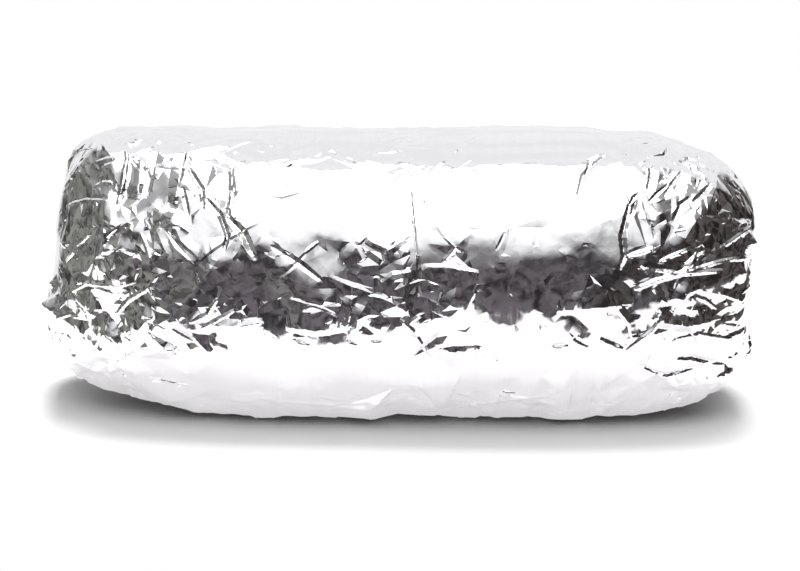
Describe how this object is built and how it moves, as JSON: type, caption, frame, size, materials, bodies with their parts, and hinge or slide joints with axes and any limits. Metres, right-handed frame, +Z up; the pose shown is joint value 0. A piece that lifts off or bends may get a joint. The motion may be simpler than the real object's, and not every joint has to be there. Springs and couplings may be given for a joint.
{
  "type": "foil-wrapped burrito",
  "caption": "Whole rolled burrito shut inside a crumpled foil wrap, blunt at both ends, lying on its flat underside.",
  "frame": {"origin": "on the surface it rests on, under the middle of its bounding box", "axes": "+X along the roll towards its rounder end, -Y towards the side shown in the picture, +Z up"},
  "size_m": [0.178, 0.0698, 0.0686],
  "materials": {
    "foil": "bright crumpled aluminium foil"
  },
  "bodies": {
    "root": {"foil_wrapped_burrito": "foil"}
  },
  "joints": []
}
